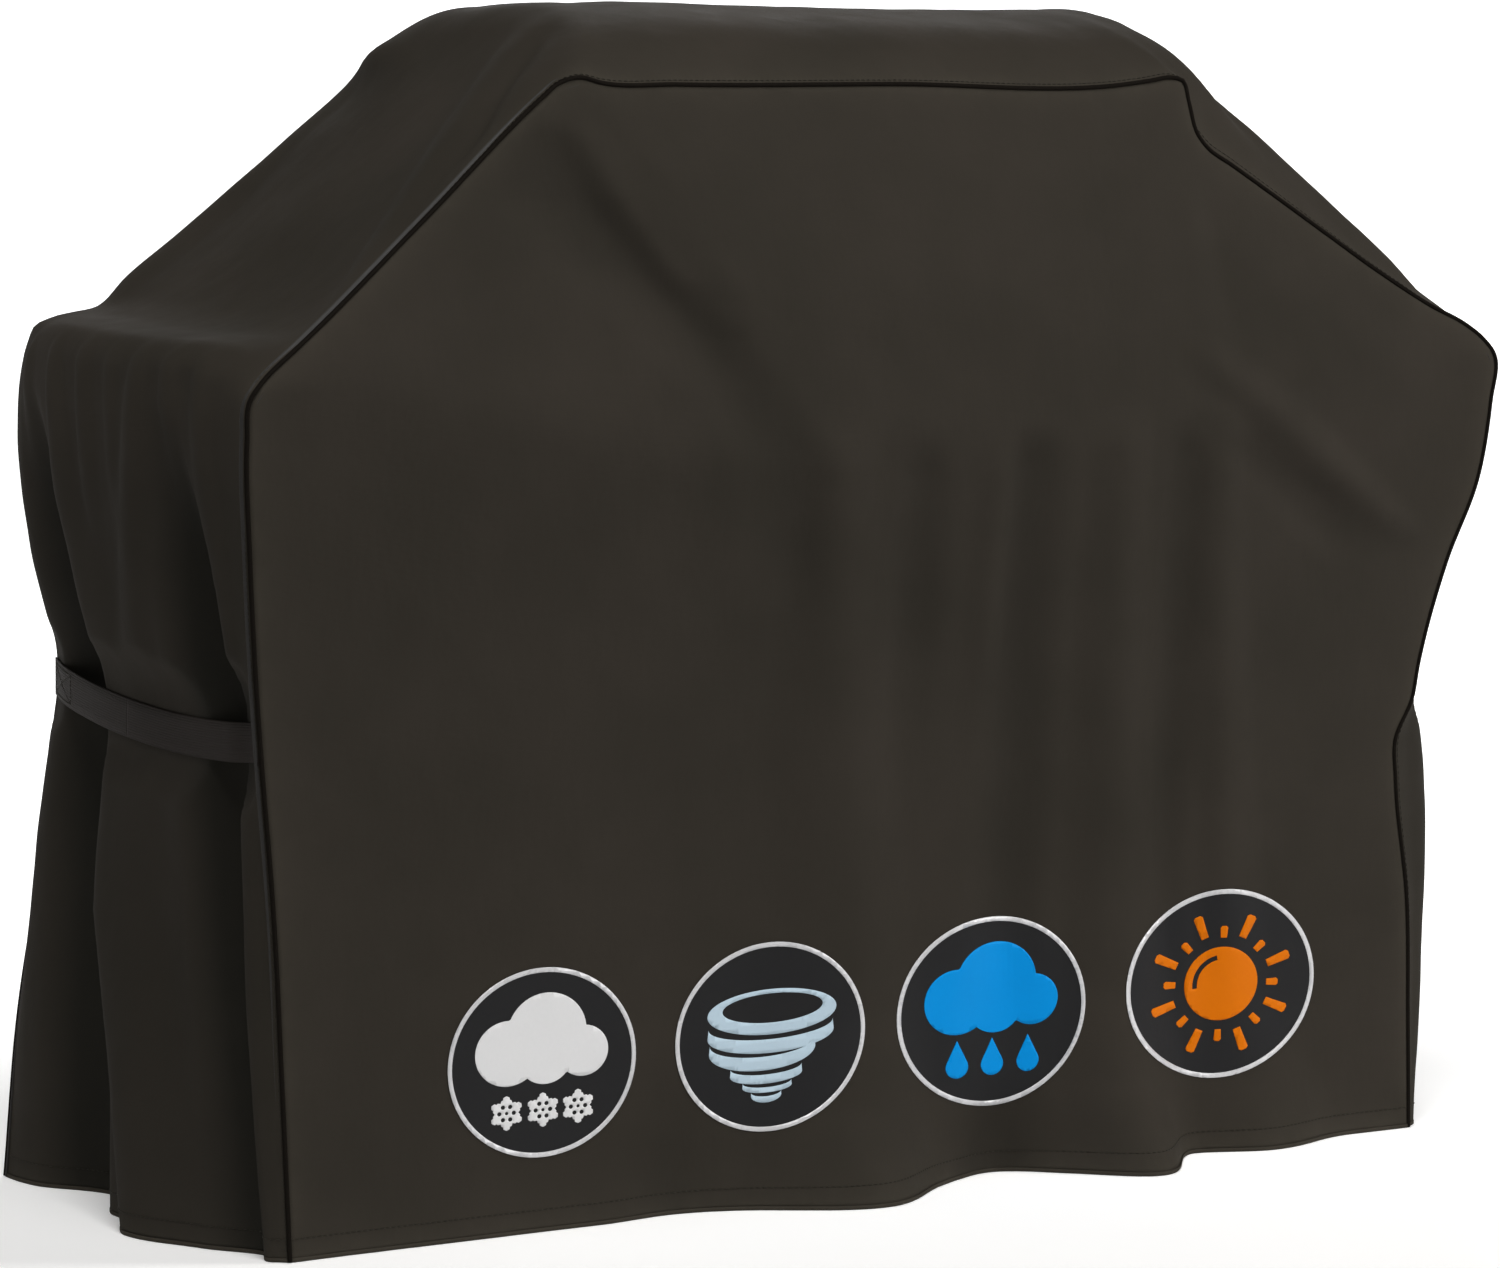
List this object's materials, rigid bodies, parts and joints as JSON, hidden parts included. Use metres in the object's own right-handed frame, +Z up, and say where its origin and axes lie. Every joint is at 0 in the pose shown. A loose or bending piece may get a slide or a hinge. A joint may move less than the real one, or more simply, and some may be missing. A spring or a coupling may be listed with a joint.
{
  "type": "grill cover",
  "caption": "Fitted cloth cover for a free-standing grill: sloped shoulders, piped seams, folded hem, side straps and weather badges.",
  "frame": {"origin": "on the floor under the middle of the cover", "axes": "+X to the right of someone facing the badges, +Y to the back, +Z up"},
  "size_m": [1.4726, 0.7186, 1.168],
  "materials": {
    "cover_cloth": "matt coated woven polyester, dark brown-black",
    "piping": "matt, darker than the cloth",
    "seam_tape": "smooth heat-sealed tape",
    "webbing": "matt woven webbing",
    "loop_tape": "fuzzy loop pile",
    "hook_tape": "stiff hook pile",
    "badge_black": "matt printed film",
    "badge_silver": "silver-white printed film",
    "print_snow": "matt printed film",
    "print_wind": "matt printed film",
    "print_rain": "matt printed film",
    "print_sun": "matt printed film"
  },
  "bodies": {
    "cover": {"front_panel": "cover_cloth", "back_panel": "cover_cloth", "roof_panel": "cover_cloth", "left_slope_panel": "cover_cloth", "right_slope_panel": "cover_cloth", "left_side_panel": "cover_cloth", "right_side_panel": "cover_cloth", "front_hem": "cover_cloth", "back_hem": "cover_cloth", "left_hem": "cover_cloth", "right_hem": "cover_cloth", "front_piping": "piping", "back_piping": "piping", "front_seam_tape": "seam_tape", "back_seam_tape": "seam_tape", "left_strap_anchor": "webbing", "right_strap_anchor": "webbing", "left_loop_pad": "loop_tape", "right_loop_pad": "loop_tape", "snow_badge_disc": "badge_black", "tornado_badge_disc": "badge_black", "rain_badge_disc": "badge_black", "sun_badge_disc": "badge_black", "snow_badge_ring": "badge_silver", "tornado_badge_ring": "badge_silver", "rain_badge_ring": "badge_silver", "sun_badge_ring": "badge_silver", "snow_cloud": "print_snow", "snowflakes": "print_snow", "tornado": "print_wind", "rain_cloud": "print_rain", "raindrops": "print_rain", "sun_disc": "print_sun", "sun_rays": "print_sun"},
    "left_strap": {"left_strap": "webbing"},
    "left_strap_end": {"left_strap_end": "webbing", "left_hook_pad": "hook_tape"},
    "right_strap": {"right_strap": "webbing"},
    "right_strap_end": {"right_strap_end": "webbing", "right_hook_pad": "hook_tape"}
  },
  "joints": [
    {"name": "left_strap_swing", "type": "hinge", "parent": "cover", "child": "left_strap", "pos_m": [-0.69545, -0.26104, 0.49], "axis": [0, 0, 1], "range_deg": [0, 170]},
    {"name": "left_strap_end_peel", "type": "hinge", "parent": "left_strap", "child": "left_strap_end", "pos_m": [-0.69545, 0.11485, 0.49], "axis": [0, 0, 1], "range_deg": [0, 180]},
    {"name": "right_strap_swing", "type": "hinge", "parent": "cover", "child": "right_strap", "pos_m": [0.69545, -0.26104, 0.49], "axis": [0, 0, -1], "range_deg": [0, 170]},
    {"name": "right_strap_end_peel", "type": "hinge", "parent": "right_strap", "child": "right_strap_end", "pos_m": [0.69545, 0.11485, 0.49], "axis": [0, 0, -1], "range_deg": [0, 180]}
  ]
}
